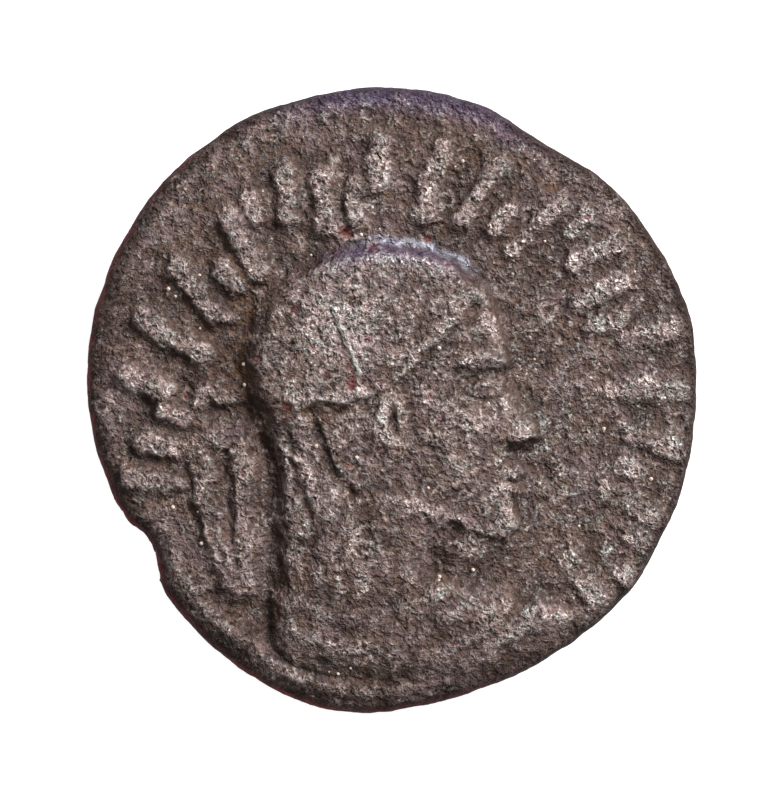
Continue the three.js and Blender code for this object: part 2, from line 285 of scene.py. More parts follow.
# %% [markdown]
# ## Portrait
#
# The portrait is a plain classical head of the builder's own, on the proportions that drawing books give:
# the eye half way up, and brow, nose and chin a third of the face apart. Its shapes are shares of the
# head's height. It starts as a pillow: how far a point is inside the outline sets how high it stands.
#
# The head could be sculpted with brushes instead. It is worked out from outlines, because then every form
# keeps a size that can be changed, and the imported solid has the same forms.

# %% Outline of the head
HEAD_HEIGHT = 10.8
HEAD_MIDDLE = (0.24, 0.05)
HEAD_TILT = 2
HEAD_RELIEF = 0.95
SOFT_EDGE = 0.045

HEAD_OUTLINE = smooth_line(
    [
        (0.44, 1.015), (0.64, 0.985), (0.79, 0.89), (0.86, 0.78), (0.885, 0.68),
        (0.9, 0.605), (0.888, 0.55), (0.93, 0.46), (0.985, 0.375), (0.965, 0.33),
        (0.91, 0.305), (0.93, 0.245), (0.908, 0.21), (0.925, 0.17),
        (0.893, 0.13), (0.91, 0.07), (0.86, 0.005), (0.77, 0.0),
        (0.66, 0.04), (0.61, -0.03), (0.6, -0.16), (0.66, -0.28),
        (0.4, -0.32), (0.1, -0.28), (0.085, -0.1), (0.085, 0.12), (0.085, 0.3),
        (0.025, 0.42), (-0.03, 0.56), (-0.015, 0.72), (0.06, 0.87), (0.22, 0.98),
    ],
    closed=True,
)  # fmt: skip


def in_head(x, y):
    """Shares of the head's height, right from the nape and up from the chin."""
    angle = math.radians(HEAD_TILT)
    right, up = (x - HEAD_MIDDLE[0]) / HEAD_HEIGHT, (y - HEAD_MIDDLE[1]) / HEAD_HEIGHT
    return (
        0.5 + right * math.cos(angle) + up * math.sin(angle),
        0.5 + up * math.cos(angle) - right * math.sin(angle),
    )


print("points on the head's outline:", len(HEAD_OUTLINE))

# %% Pillow of the head
RAGGED = 0.13  # corrosion eats an edge unevenly, so a point looks for its form this far beside its place
BACK_SLOPE = 1.1  # how much wider the edge is at the back of the head
PILLOW_RISE = 0.83
STEP_SHARE, DOME_SHARE = 0.45, 0.55  # the pillow is part step and part dome
NAPE_STEP_LOST = 0.2
NECK_FALL = 0.34
FACE_DOME_REACH, HAIR_DOME_REACH = 0.3, 0.34
HAIR_DOME_SHARE = 0.6

wander_x = RAGGED * rough(x, y, 1.3, 4, 11.0)
wander_y = RAGGED * rough(x, y, 1.3, 4, 23.0)
u, v = in_head(x + wander_x, y + wander_y)
depth = inset(u, v, HEAD_OUTLINE)
back_of_hair = ease((0.4 - u) / 0.4) * ease((v - 0.25) / 0.3)
on_head = ease(depth / (SOFT_EDGE * (1 + BACK_SLOPE * back_of_hair)))
neck_fall = 1 - NECK_FALL * ease((0.1 - v) / 0.34)
nape_side = ease((0.35 - u) / 0.25) * ease((0.5 - v) / 0.1)
soft_dome = HAIR_DOME_SHARE * ease((0.75 - u) / 0.5) * ease((v - 0.45) / 0.1)
dome = quarter_round(depth / FACE_DOME_REACH) * (1 - soft_dome) + soft_dome * ease(depth / HAIR_DOME_REACH)
edge_step = (STEP_SHARE - NAPE_STEP_LOST * nape_side) * on_head
pillow = PILLOW_RISE * neck_fall * (edge_step + DOME_SHARE * dome)
print("share of the face under the portrait:", round(float((depth > 0).mean()), 2))

# %% [markdown]
# ## Face and ear
#
# The features are soft hills and hollows on the pillow, a list of place, size and rise. Lids, lips and the
# rim of the ear are thin ridges along short curves. All of them stay low, as on a coin that has passed
# through many hands.

# %% Forms of the face
FACE_FORMS = [
    {"at": (0.8, 0.615), "size": (0.1, 0.03), "turn": -6, "rise": 0.12},
    {"at": (0.79, 0.535), "size": (0.075, 0.045), "rise": -0.2},
    {"at": (0.79, 0.528), "size": (0.042, 0.026), "turn": -4, "rise": 0.2},
    {"at": (0.68, 0.4), "size": (0.12, 0.09), "turn": -20, "rise": 0.1},
    {"at": (0.905, 0.35), "size": (0.032, 0.026), "rise": 0.14},
    {"at": (0.925, 0.338), "size": (0.014, 0.008), "turn": 20, "rise": -0.03},
    {"at": (0.865, 0.29), "size": (0.02, 0.06), "turn": 12, "rise": -0.08},
    {"at": (0.905, 0.238), "size": (0.042, 0.017), "turn": -5, "rise": 0.12},
    {"at": (0.895, 0.208), "size": (0.05, 0.009), "turn": -5, "rise": -0.14},
    {"at": (0.895, 0.178), "size": (0.038, 0.018), "turn": -5, "rise": 0.12},
    {"at": (0.865, 0.065), "size": (0.05, 0.045), "rise": 0.12},
    {"at": (0.64, 0.1), "size": (0.17, 0.03), "turn": -24, "rise": 0.08},
    {"at": (0.62, -0.04), "size": (0.2, 0.05), "turn": -20, "rise": -0.04},
    {"at": (0.47, 0.42), "size": (0.045, 0.085), "turn": 8, "rise": 0.2},
    {"at": (0.482, 0.425), "size": (0.02, 0.05), "turn": 8, "rise": -0.2},
]
FACE_RIDGES = [
    {"width": 0.012, "rise": 0.11, "points": [(0.74, 0.52), (0.775, 0.548), (0.815, 0.548), (0.848, 0.528)]},
    {"width": 0.01, "rise": 0.08, "points": [(0.755, 0.512), (0.79, 0.5), (0.83, 0.51)]},
    {"width": 0.016, "rise": 0.07, "points": [(0.71, 0.605), (0.79, 0.625), (0.87, 0.61)]},
    {
        "width": 0.012, "rise": 0.06,
        "points": [(0.5, 0.46), (0.475, 0.5), (0.44, 0.47), (0.44, 0.4), (0.47, 0.35)],
    },
]  # fmt: skip
FACE_STRENGTH = 2.3
print("forms of the face:", len(FACE_FORMS), "and thin ridges:", len(FACE_RIDGES))

# %% Raise the features
features = np.zeros(len(x))
for form in FACE_FORMS:
    features += form["rise"] * bump(u, v, form["at"], form["size"], form.get("turn", 0))
for ridge in FACE_RIDGES:
    features += ridge["rise"] * soft_line(near_line(u, v, smooth_line(ridge["points"])), ridge["width"])
features *= FACE_STRENGTH
print("rise of the features:", round(float(features.min()), 2), "to", round(float(features.max()), 2))

# %% [markdown]
# ## Hair and diadem
#
# The hair is a thick cap that ends in a rolled edge at the nape, and longer locks hang from under it to the
# shoulder. Both are areas that stand a step above the head. Strands could be curves with a thickness, but on
# a coin they are ripples a few hundredths of a millimetre high. So they are a cosine of the angle round the
# crown, bent by a little noise so that no two run alike. The diadem is a band along a curve.

# %% Hair, locks and band
HAIR_CAP = smooth_line(
    [
        (0.9, 0.93), (0.79, 0.83), (0.7, 0.74), (0.61, 0.65), (0.52, 0.57), (0.42, 0.51), (0.32, 0.485),
        (0.2, 0.49), (0.08, 0.475), (-0.08, 0.44), (-0.2, 0.8), (0.2, 1.2), (0.7, 1.2),
    ],
    closed=True,
)  # fmt: skip
NECK_HAIR = smooth_line(
    [
        (0.1, 0.5), (0.21, 0.49), (0.25, 0.38), (0.34, 0.2), (0.37, 0.04), (0.38, -0.14),
        (0.22, -0.2), (0.0, -0.16), (0.02, 0.1), (0.04, 0.34),
    ],
    closed=True,
)  # fmt: skip
DIADEM = smooth_line([(0.9, 0.735), (0.7, 0.7), (0.48, 0.63), (0.24, 0.57), (-0.04, 0.545)])
CROWN = (0.42, 0.82)
CAP_RISE, NECK_HAIR_RISE, DIADEM_RISE = 0.26, 0.12, 0.09
STRANDS_ROUND = 64
STRAND_RISE, LOCK_RISE = 0.018, 0.03
LOCK_GROOVES = [
    {"points": [(0.215, 0.47), (0.24, 0.36), (0.29, 0.26), (0.34, 0.19)], "depth": 0.26, "width": 0.015},
    {"points": [(0.12, 0.43), (0.15, 0.3), (0.2, 0.1)], "depth": 0.12, "width": 0.011},
]
LOCK_SPACING = 0.062
EDGE_ROLL_RISE = 0.13
DIADEM_HALF_WIDTH = 0.022
DIADEM_GROOVE_DEPTH = 0.03
print("strands right round the crown:", STRANDS_ROUND)

# %% Raise the hair and the band
bend = rough(x, y, 0.5, 3, 37.0)
broken = ease(0.5 + 1.3 * rough(x, y, 0.8, 2, 51.0))  # wear leaves only stretches of the fine lines
cap_depth = inset(u, v, HAIR_CAP)
cap = ease(1.6 * cap_depth / SOFT_EDGE + 0.5)
locks = ease(inset(u, v, NECK_HAIR) / SOFT_EDGE + 0.5) * (1 - cap)
round_crown = np.arctan2(v - CROWN[1], u - CROWN[0])
from_crown = np.hypot(u - CROWN[0], v - CROWN[1])
strands = np.cos(STRANDS_ROUND * round_crown + 5 * bend) * ease(from_crown / 0.25)
waves = np.cos(2 * math.pi * (u - 0.03 * np.sin(11 * v) + 0.12 * v + 0.07 * bend) / LOCK_SPACING)
rolled_edge = soft_line(cap_depth - 0.03, 0.03) * ease((0.42 - u) / 0.1)
from_diadem = near_line(u, v, DIADEM)
band = ease(1.5 - from_diadem / DIADEM_HALF_WIDTH)
band_grooves = soft_line(from_diadem - 0.6 * DIADEM_HALF_WIDTH, 0.006)

hair = CAP_RISE * cap * (0.6 + 0.4 * quarter_round(cap_depth / 0.1)) + EDGE_ROLL_RISE * rolled_edge
hair = hair + STRAND_RISE * strands * broken * cap * (1 - band)
hair = hair + NECK_HAIR_RISE * locks + LOCK_RISE * waves * broken * locks
lock_grooves = np.zeros(len(x))
for groove in LOCK_GROOVES:
    in_groove = soft_line(near_line(u, v, smooth_line(groove["points"])), groove["width"])
    lock_grooves = np.maximum(lock_grooves, groove["depth"] * in_groove)
hair = hair - lock_grooves
hair = hair + DIADEM_RISE * band - DIADEM_GROOVE_DEPTH * band_grooves
head_height = HEAD_RELIEF * (pillow + on_head * (features * (1 - cap) + hair))
print("highest point of the head in mm:", round(float(head_height.max()), 2))

# %% [markdown]
# ## Bust and diadem ends
#
# The bust is cut off in a shallow curve, under a cloak whose folds hang round the neck. Draped cloth could be
# simulated, but a die cutter only draws it, so the folds are a cosine of the distance from the neck. Behind
# the neck the diadem's ends make a loop and two hanging tails, low ribbons that are raised along a line.

# %% Bust, ribbons and the groove behind the neck
BUST_OUTLINE = smooth_line(
    [
        (0.06, -0.12), (0.05, -0.28), (0.12, -0.37), (0.3, -0.42), (0.54, -0.44), (0.78, -0.4),
        (0.98, -0.32), (1.06, -0.24), (1.0, -0.17), (0.86, -0.13), (0.7, -0.08), (0.4, -0.02), (0.14, -0.04),
    ],
    closed=True,
)  # fmt: skip
BUST_RELIEF = 0.58
FOLD_MIDDLE, FOLD_SPACING, FOLD_RISE = (0.36, 0.03), 0.085, 0.08
TIE_RELIEF, TIE_WIDTH = 0.24, 0.95
TIE_LEFT = 0.8  # share of the ribbons' width that wear has left
TIE_SWAY = 0.35
DIADEM_ENDS = [
    [(-0.02, 0.52), (-0.07, 0.5), (-0.1, 0.53), (-0.155, 0.51), (-0.175, 0.44), (-0.12, 0.39), (-0.03, 0.41)],
    [(-0.165, 0.43), (-0.18, 0.3), (-0.165, 0.16), (-0.125, 0.02), (-0.1, -0.08)],
    [(-0.03, 0.42), (-0.04, 0.28), (-0.035, 0.12), (-0.045, -0.04), (-0.05, -0.12)],
]
NAPE_GROOVE = smooth_line(
    [(0.045, 0.4), (0.062, 0.24), (0.062, 0.04), (0.04, -0.16), (0.045, -0.29), (0.12, -0.38), (0.27, -0.43)]
)
NAPE_GROOVE_DEPTH, NAPE_GROOVE_WIDTH = 0.12, 0.014
print("stretches of the diadem's ends:", len(DIADEM_ENDS))

# %% Strokes with one crisp side
LIT_SIDE = (math.cos(math.radians(40)), math.sin(math.radians(40)))
CRISP = 0.88  # share of its width that a stroke takes on its crisp side
FADE_OUT = 0.62  # how much wider it is where it fades into the field


def stroke_profile(distance, width):
    """A raised stroke, worn soft: 1 on its middle line, and about half of that at half its width."""
    return ease(1.3 - 1.65 * distance / width)


def slanted_stroke(x, y, points, width, towards=LIT_SIDE):
    """A raised line with a crisp drop on one side, which fades out towards a direction."""
    distance, side = side_of_line(x, y, points, towards)
    return stroke_profile(distance, width * (CRISP + FADE_OUT * ease((side + 0.2) / 1.2)))


print("height of a stroke at half its width:", round(float(stroke_profile(0.5, 1)), 2))

# %% Raise the bust and the ribbons
bust_depth = inset(u, v, BUST_OUTLINE)
hang = np.hypot((u - FOLD_MIDDLE[0]) / 1.3, v - FOLD_MIDDLE[1]) + 0.006 * bend
folds = FOLD_RISE * np.cos(2 * math.pi * hang / FOLD_SPACING) * (0.3 + 0.7 * broken)
bust_height = ease(bust_depth / (2 * SOFT_EDGE)) * (0.5 + folds) + 0.4 * quarter_round(bust_depth / 0.16)
bust_height = BUST_RELIEF * np.where(bust_depth > 0, bust_height, 0)

tie_sway = TIE_SWAY * rough(x, y, 0.4, 2, 83.0)
tie_u, tie_v = in_head(x + tie_sway + 2 * wander_x, y - tie_sway + 2 * wander_y)
ties = np.zeros(len(x))
for points in DIADEM_ENDS:
    ribbon = slanted_stroke(tie_u, tie_v, smooth_line(points), TIE_LEFT * TIE_WIDTH / HEAD_HEIGHT)
    ties = np.maximum(ties, ribbon)
from_nape_groove = near_line(u, v, NAPE_GROOVE)
nape_groove = NAPE_GROOVE_DEPTH * soft_line(from_nape_groove, NAPE_GROOVE_WIDTH)
print("highest point of the bust in mm:", round(float(bust_height.max()), 2))

# %% [markdown]
# ## Marks round the edge
#
# A row of short raised strokes runs round the portrait. They are made of five small groups of leaning bars
# and ticks that never meet, one group after the other on a ring. They could be separate bars laid on the
# field, but struck metal is one skin, so they are heights like the rest. A struck stroke isn't even either:
# the metal flowed, so one side is a crisp drop and the other falls gently into the field.

# %% Strokes on a ring
MARK_STROKES = [
    [[(-0.24, -0.4), (-0.06, 0.38)], [(0.18, -0.34), (0.24, -0.1)]],
    [[(-0.24, -0.1), (-0.1, 0.42)], [(0.14, -0.42), (0.3, 0.14)]],
    [[(-0.04, -0.42), (0.0, 0.02), (0.12, 0.42)]],
    [[(-0.2, -0.44), (-0.04, 0.3)], [(0.24, 0.1), (0.3, 0.36)]],
    [[(-0.2, -0.38), (-0.12, -0.08)], [(0.12, -0.06), (0.26, 0.42)]],
]
OBVERSE_MARKS = {
    "middle": (0.38, -1.02), "radius": FLAN_RADIUS - 2.25, "length": 2.9, "width": 0.8,
    "first": 189, "last": -36, "count": 16,
}  # fmt: skip
REVERSE_MARKS = {
    "middle": (0, 0), "radius": FLAN_RADIUS - 3.1, "length": 2.2, "width": 0.7,
    "first": 80, "last": -70, "count": 9,
}  # fmt: skip
MARK_RELIEF = 0.32


def marks_at(x, y, ring):
    """Height of a ring of marks, 0 to 1, each turned to stand on the ring."""
    height = np.zeros(len(x))
    for i, degrees in enumerate(np.linspace(ring["first"], ring["last"], ring["count"])):
        out_x, out_y = math.cos(math.radians(degrees)), math.sin(math.radians(degrees))
        right = x - ring["middle"][0] - ring["radius"] * out_x
        up = y - ring["middle"][1] - ring["radius"] * out_y
        near = np.hypot(right, up) < ring["length"]
        across = (right * out_y - up * out_x)[near] / ring["length"]
        out = (right * out_x + up * out_y)[near] / ring["length"]
        lit = (LIT_SIDE[0] * out_y - LIT_SIDE[1] * out_x, LIT_SIDE[0] * out_x + LIT_SIDE[1] * out_y)
        for stroke in MARK_STROKES[(3 * i + 1) % len(MARK_STROKES)]:
            raised = slanted_stroke(across, out, stroke, ring["width"] / ring["length"], lit)
            height[near] = np.maximum(height[near], raised)
    return height


marks = marks_at(x + wander_x, y + wander_y, OBVERSE_MARKS)
# The dies met at a slight angle, so the strokes are weaker towards the lower right.
strike = np.clip(0.8 + 0.012 * (y - 2.2 * x), 0.55, 1) * (0.9 + 0.4 * rough(x, y, 0.45, 2, 71.0))
print("share of the face under the marks:", round(float((marks > 0.1).mean()), 2))

# %% [markdown]
# ## Obverse
#
# Where two forms meet, the higher one wins, as on a die, so the forms are joined with a maximum. The field
# under them isn't flat: the blank buckled a little, and a low lip of metal was pushed up along the lower
# left of the rim.

# %% Join the forms of the obverse
FIELD_BUCKLE = 0.05
LIP = {"inset": 1.0, "width": 0.8, "relief": 0.22, "angle": 248, "spread": 30}
THROAT = {"at": (0.715, 0.025), "size": (0.16, 0.1), "relief": 0.62}  # fills the corner under the chin


def slow_wave(x, y):
    """The buckle of both fields."""
    return FIELD_BUCKLE * (np.cos(0.31 * x + 0.17 * y + 0.6) + np.sin(0.26 * y - 0.22 * x))


angle = np.arctan2(y, x)
from_lip = np.hypot(x, y) - (rim_radius(angle) - LIP["inset"])
round_lip = turn_between(LIP["angle"], np.degrees(angle))
lip = bump(from_lip, round_lip, (0, 0), (LIP["width"] / 2, LIP["spread"]))
throat = THROAT["relief"] * bump(u, v, THROAT["at"], THROAT["size"])
forms = [throat, head_height, bust_height, TIE_RELIEF * ties, MARK_RELIEF * strike * marks]
relief = np.maximum.reduce(forms)
obverse = slow_wave(x, y) + LIP["relief"] * lip + relief - nape_groove * (1 - on_head)
print("highest relief in mm:", round(float(obverse.max()), 2))

# %% [markdown]
# ## Scratch and pits
#
# A straight scored line crosses the hair. It is a groove with a bright lip on its right and a brown band on
# its left, and it ends in a pit; the groove and the pit are darkened with painted shade. Corrosion has opened
# small round pits elsewhere, most of them on the portrait. They are placed at random with a fixed seed, so
# that every run gives the same coin.

# %% Scored line
SCRATCH = [(-2.12, 3.2), (-1.2, 0.95)]
SCRATCH_WIDTH, SCRATCH_DEPTH, SCRATCH_LIP = 0.075, 0.17, 0.04
SHADED_FROM = (-1.75, 2.3)  # from here down, the line has a brown band on its left
SHADED_WIDTH = 0.11
END_PIT = {"at": (-0.85, 0.64), "hole": (0.16, 0.13), "shade": (0.2, 0.16)}

scratch = soft_line(near_stretch(x, y, *SCRATCH)[0], SCRATCH_WIDTH)
scratch_lip = soft_line(near_stretch(x - 1.6 * SCRATCH_WIDTH, y, *SCRATCH)[0], SCRATCH_WIDTH)
beside_scratch = near_stretch(x + 2.2 * SCRATCH_WIDTH, y, SHADED_FROM, SCRATCH[1])[0]
scratch_band = soft_line(beside_scratch, SHADED_WIDTH)
end_pit = bump(x, y, END_PIT["at"], END_PIT["shade"])
# Darker on the brown band, and painted shade in the end pit.
scratch_shade = 0.25 * scratch_band + 0.8 * end_pit
obverse = obverse - SCRATCH_DEPTH * scratch
print("length of the scored line in mm:", round(math.dist(*SCRATCH), 2))

# %% Pits
PIT_COUNT, RED_PITS = 170, 40
PORTRAIT_PITS = 2 * RED_PITS
PIT_SEED = 7
PIT_SIZE = (0.07, 0.22)
PIT_DEPTH = 0.35  # share of the pit's radius
PIT_RIM = 0.08  # share of the smallest pit's radius
PITS_MIDDLE = (-0.8, 1.2)
PORTRAIT_SPREAD, FIELD_SPREAD = 3.2, 6.0

chance = np.random.default_rng(PIT_SEED)
pits = 2 * PIT_SIZE[1] * bump(x, y, END_PIT["at"], END_PIT["hole"])
pit_rims = np.zeros(len(x))
red_pits = 0.35 * end_pit
pit_wobble = 1 + 0.6 * rough(x, y, 3.5, 2, 97.0)
for i in range(PIT_COUNT):
    spread = PORTRAIT_SPREAD if i < PORTRAIT_PITS else FIELD_SPREAD
    place = chance.normal(PITS_MIDDLE, spread)
    size = PIT_SIZE[0] + (PIT_SIZE[1] - PIT_SIZE[0]) * chance.random() ** 2
    near = pit_wobble * np.hypot(x - place[0], y - place[1]) / size
    hole = np.exp(-(near**4))
    pits = np.maximum(pits, size * hole)
    pit_rims = np.maximum(pit_rims, soft_line(near - 1.4, 0.35))
    if i < RED_PITS:
        red_pits = np.maximum(red_pits, hole)
red_pits = np.maximum(red_pits, 0.6 * scratch_band)
obverse = obverse - PIT_DEPTH * pits + PIT_RIM * PIT_SIZE[0] * pit_rims + SCRATCH_LIP * scratch_lip
print("deepest pit in mm:", round(float(PIT_DEPTH * pits.max()), 2))

# %% [markdown]
# ## Reverse
#
# The photograph doesn't show the other side, so it is kept plain: a standing figure with a staff and a
# wreath inside a border line, all worn down to one plane. The coin lies on that plane, so nothing here may
# stand above it.

# %% Standing figure, marks and border
FIGURE_HEIGHT = 13.2
FIGURE_PARTS = [
    {"from": (0, 0.415), "to": (0, 0.4), "wide": (0.07, 0.07)},
    {"from": (0, 0.33), "to": (0, 0.28), "wide": (0.045, 0.06)},
    {"from": (-0.06, 0.25), "to": (0.06, 0.25), "wide": (0.06, 0.06)},
    {"from": (0, 0.22), "to": (0, 0.06), "wide": (0.12, 0.09)},
    {"from": (0, 0.04), "to": (-0.01, -0.36), "wide": (0.1, 0.16)},
    {"from": (0.11, 0.24), "to": (0.21, 0.12), "wide": (0.05, 0.042)},
    {"from": (0.21, 0.12), "to": (0.32, 0.21), "wide": (0.042, 0.034)},
    {"from": (-0.11, 0.24), "to": (-0.19, 0.1), "wide": (0.05, 0.042)},
    {"from": (-0.19, 0.1), "to": (-0.25, 0.17), "wide": (0.042, 0.034)},
    {"from": (-0.28, -0.45), "to": (-0.25, 0.44), "wide": (0.028, 0.028)},
    {"from": (-0.34, -0.48), "to": (0.34, -0.48), "wide": (0.028, 0.028)},
]
WREATH = {"at": (0.38, 0.28), "radius": 0.07, "wide": 0.03}
ROBE_FOLD_WIDTH, ROBE_FOLD_DEPTH = 0.09, 0.5
REVERSE_STRUCK = 0.6
BORDER_INSET, BORDER_WIDTH = 1.35, 0.8


def figure_at(x, y):
    """Height of the standing figure, 0 to 1, with hanging folds on its robe."""
    u, v = x / FIGURE_HEIGHT, y / FIGURE_HEIGHT
    from_wreath = np.abs(np.hypot(u - WREATH["at"][0], v - WREATH["at"][1]) - WREATH["radius"])
    height = stroke_profile(from_wreath, 2 * WREATH["wide"])
    for part in FIGURE_PARTS:
        distance, share = near_stretch(u, v, part["from"], part["to"])
        wide = part["wide"][0] + share * (part["wide"][1] - part["wide"][0])
        height = np.maximum(height, stroke_profile(distance, 2 * wide))
    on_robe = ease((-0.02 - v) / 0.12)
    fold = 0.5 - 0.5 * np.cos(2 * math.pi * u / (ROBE_FOLD_WIDTH * (1 - v)))
    return height * (1 - ROBE_FOLD_DEPTH * on_robe * fold)


from_border = np.abs(np.hypot(reverse_x, reverse_y) - (FLAN_RADIUS - BORDER_INSET))
border = stroke_profile(from_border, BORDER_WIDTH)
figure = figure_at(reverse_x, reverse_y)
struck = np.maximum.reduce([figure, border, marks_at(reverse_x, reverse_y, REVERSE_MARKS)])
reverse = np.minimum(slow_wave(reverse_y, reverse_x) + REVERSE_STRUCK * struck, REVERSE_WORN)
print("share of the reverse worn flat:", round(float((reverse == REVERSE_WORN).mean()), 2))

# %% [markdown]
# ## One closed mesh
#
# Heights become places: a point keeps its x and y, and its height is scaled down as its ring goes round the
# edge. The outer ring of the reverse is left out, and its triangles use the obverse's outer ring instead, so
# the two faces are welded without a search for doubles.

# %% Join the two faces
half = FLAN_THICKNESS / 2
top = np.stack([x, y, MIDDLE_Z + steep * (half + obverse)], axis=1)
bottom = np.stack([reverse_x, reverse_y, MIDDLE_Z - reverse_steep * (half + reverse)], axis=1)
rim_size = OBVERSE["sectors"] * OBVERSE["rings"]
inner_bottom = len(bottom) - rim_size
number = np.concatenate([len(top) + np.arange(inner_bottom), len(top) - rim_size + np.arange(rim_size)])
points = np.vstack([top, bottom[:inner_bottom]])
triangles = np.vstack([ring_faces(OBVERSE), number[ring_faces(REVERSE)][:, ::-1]])
print("points:", len(points), "triangles:", len(triangles))


# %% Normals and neighbours
def point_normals(points):
    """Direction that the surface faces at each point."""
    a, b, c = (points[triangles[:, i]] for i in range(3))
    across = np.cross(b - a, c - a)
    normals = np.zeros(points.shape)
    for axis in range(3):
        for i in range(3):
            normals[:, axis] += np.bincount(triangles[:, i], across[:, axis], len(points))
    return normals / np.linalg.norm(normals, axis=1, keepdims=True)


sides = np.vstack([triangles[:, [0, 1]], triangles[:, [1, 2]], triangles[:, [2, 0]]])
edges = np.unique(np.sort(sides), axis=0)
neighbours = np.bincount(edges.ravel(), minlength=len(points))
print("edges:", len(edges))


def blurred(values, times):
    """Values at the points, each mixed with its neighbours' again and again."""
    for _ in range(times):
        around = np.bincount(edges[:, 0], values[edges[:, 1]], len(points))
        around = around + np.bincount(edges[:, 1], values[edges[:, 0]], len(points))
        values = (values + around / neighbours) / 2
    return values


# %% [markdown]
# ## Corrosion
#
# Buried bronze grows a skin of minerals and loses it again, which leaves lumps of every size. The noise
# here is read in three dimensions, so it runs on round the edge without a seam, and it moves each point
# along its normal. A Displace modifier could do the same, but the masks below need the moved points. The
# finest grain, under the size of a triangle, is left to the material's bump.

# %% Displace the surface
LUMPS = [
    {"per_mm": 0.45, "octaves": 2, "height": 0.06},
    {"per_mm": 1.5, "octaves": 3, "height": 0.035},
    {"per_mm": 4.0, "octaves": 2, "height": 0.022},
]
EATEN_DEPTH = 0.035  # of the shallow hollows that corrosion has eaten out
CALM_RIM, CALM_SHARE = 0.5, 0.4  # this close to the rim, the lumps are only this high
FULL_HEIGHT, RUBBED_TO = 3.86, 0.05  # crests above the first are rubbed down to within the second of it

normals = point_normals(points)
swelling = np.zeros(len(points))
for lumps in LUMPS:
    swelling += lumps["height"] * rough(
        points[:, 0], points[:, 1], lumps["per_mm"], lumps["octaves"], points[:, 2] * lumps["per_mm"]
    )
eaten = ease((rough(points[:, 0], points[:, 1], 1.5, 3, points[:, 2] * 1.5 + 9) + 0.02) / 0.3)
swelling -= EATEN_DEPTH * eaten
swelling *= np.where(np.hypot(points[:, 0], points[:, 1]) > FLAN_RADIUS - CALM_RIM, CALM_SHARE, 1)
points = points + normals * swelling[:, None]
points[:, 2] = np.maximum(points[:, 2], 0)
over_solid = np.maximum(points[:, 2] - FULL_HEIGHT, 0)
points[:, 2] -= over_solid * over_solid / (over_solid + RUBBED_TO)
print("highest point in mm:", round(float(points[:, 2].max()), 3))
middle = (points.min(axis=0) + points.max(axis=0)) / 2
points[:, :2] -= middle[:2]
normals = point_normals(points)
print("size in mm:", np.round(points.max(axis=0) - points.min(axis=0), 2))

# %% [markdown]
# ## Where it is worn and where soil stays
#
# Hands rub the crests, and soil stays in the hollows, which also get painted shade. A crest stands out from
# its own surroundings, so each point is compared with a blurred copy of the surface: in front of it is a
# crest, behind it is a hollow. The results are masks from 0 to 1, one number for each point.

# %% Crests and hollows
WIDE_BLUR, FINE_BLUR = 120, 12


def stands_out(times):
    """How far each point stands out of a blurred surface, in millimetres."""
    smooth = np.stack([blurred(points[:, axis], times) for axis in range(3)], axis=1)
    return ((points - smooth) * normals).sum(axis=1)


def on_obverse(values):
    """Values at the points of the obverse, with zeros for the rest of the coin."""
    return np.concatenate([values, np.zeros(inner_bottom)])


wide_crest = stands_out(WIDE_BLUR)
fine_crest = stands_out(FINE_BLUR)
px, py, pz = points.T
up_facing = normals[:, 2]
field_z = MIDDLE_Z + half
height_share = np.where(up_facing > 0, (pz - field_z) / HEAD_RELIEF, 0.3)
worn = 0.45 * ease((height_share - 0.3) / 0.6)
worn = worn + 0.75 * ease(wide_crest / 0.07) + 0.35 * ease(fine_crest / 0.02)
# The grooves count as hollows, so soil, sand and painted shade gather in them too.
in_grooves = on_obverse(0.6 * soft_line(from_nape_groove, 0.02) + 4 * lock_grooves)
hollow = np.clip(ease(-wide_crest / 0.06) + in_grooves, 0, 1)
print("share of the coin in hollows:", round(float((hollow > 0.5).mean()), 2))

# %% [markdown]
# ## Edge and top
#
# The skin also changes with its place. The edge has a rounded shoulder, which gets painted shade that is
# widest at the lower left, and an upright wall, which nothing rubs, so the wall stays plain brown. A thin red
# line runs along the shoulder at the lower left, and a painted violet sheen lies on it at the top and on the
# top of the head, with a painted highlight just above the head's top edge. These masks come from the way that
# the surface faces and from the distance to the rim and to the head's outline.

# %% Rim, wall and shoulder
shoulder = ease((up_facing - 0.05) / 0.35)
wall = ease((0.6 - np.abs(up_facing)) / 0.4)
# Painted shade on the steep flanks of the relief, whichever way they face.
shaded_flank = ease((0.93 - up_facing) / 0.4)
flan_x, flan_y = px + middle[0], py + middle[1]
to_rim = rim_radius(np.arctan2(flan_y, flan_x)) - np.hypot(flan_x, flan_y)
to_lower_left = ease(0.4 - (px + 0.7 * py) / FLAN_RADIUS)
# Painted shade on the rounded edge, widest at the lower left, away from the lamp.
painted_rim_shade = ease((0.62 + 0.35 * to_lower_left - to_rim) / 0.35) * (0.45 + 0.55 * shoulder)
red_side = ease(0.15 - (1.2 * px + 0.7 * py) / FLAN_RADIUS)
# A thin red line along the shoulder at the lower left.
red_rim = shoulder * ease((0.33 - to_rim) / 0.14) * red_side
# Painted violet sheen on the shoulder at the top of the coin.
top_rim_sheen = shoulder * ease((1.3 - to_rim) / 1.1) * ease((py - 7) / 2.5) * ease((6 - np.abs(px - 0.6)) / 4)
print("share of the coin on the wall:", round(float((wall > 0.5).mean()), 2))

# %% Top of the head
at_top = ease((py - 4) / 0.8) * ease((3.4 - np.abs(px - 0.2)) / 2)
# Painted violet sheen along the top edge of the head.
head_top_sheen = at_top * on_obverse(soft_line(depth - 0.025, 0.04))
# A painted highlight: a thin cold line just above the head's top edge.
top_glint = at_top * on_obverse(soft_line(depth + 0.012, 0.012)) * ease((px + 1.8) / 1.5)
print("points in the bloom on the head:", int((head_top_sheen > 0.5).sum()))

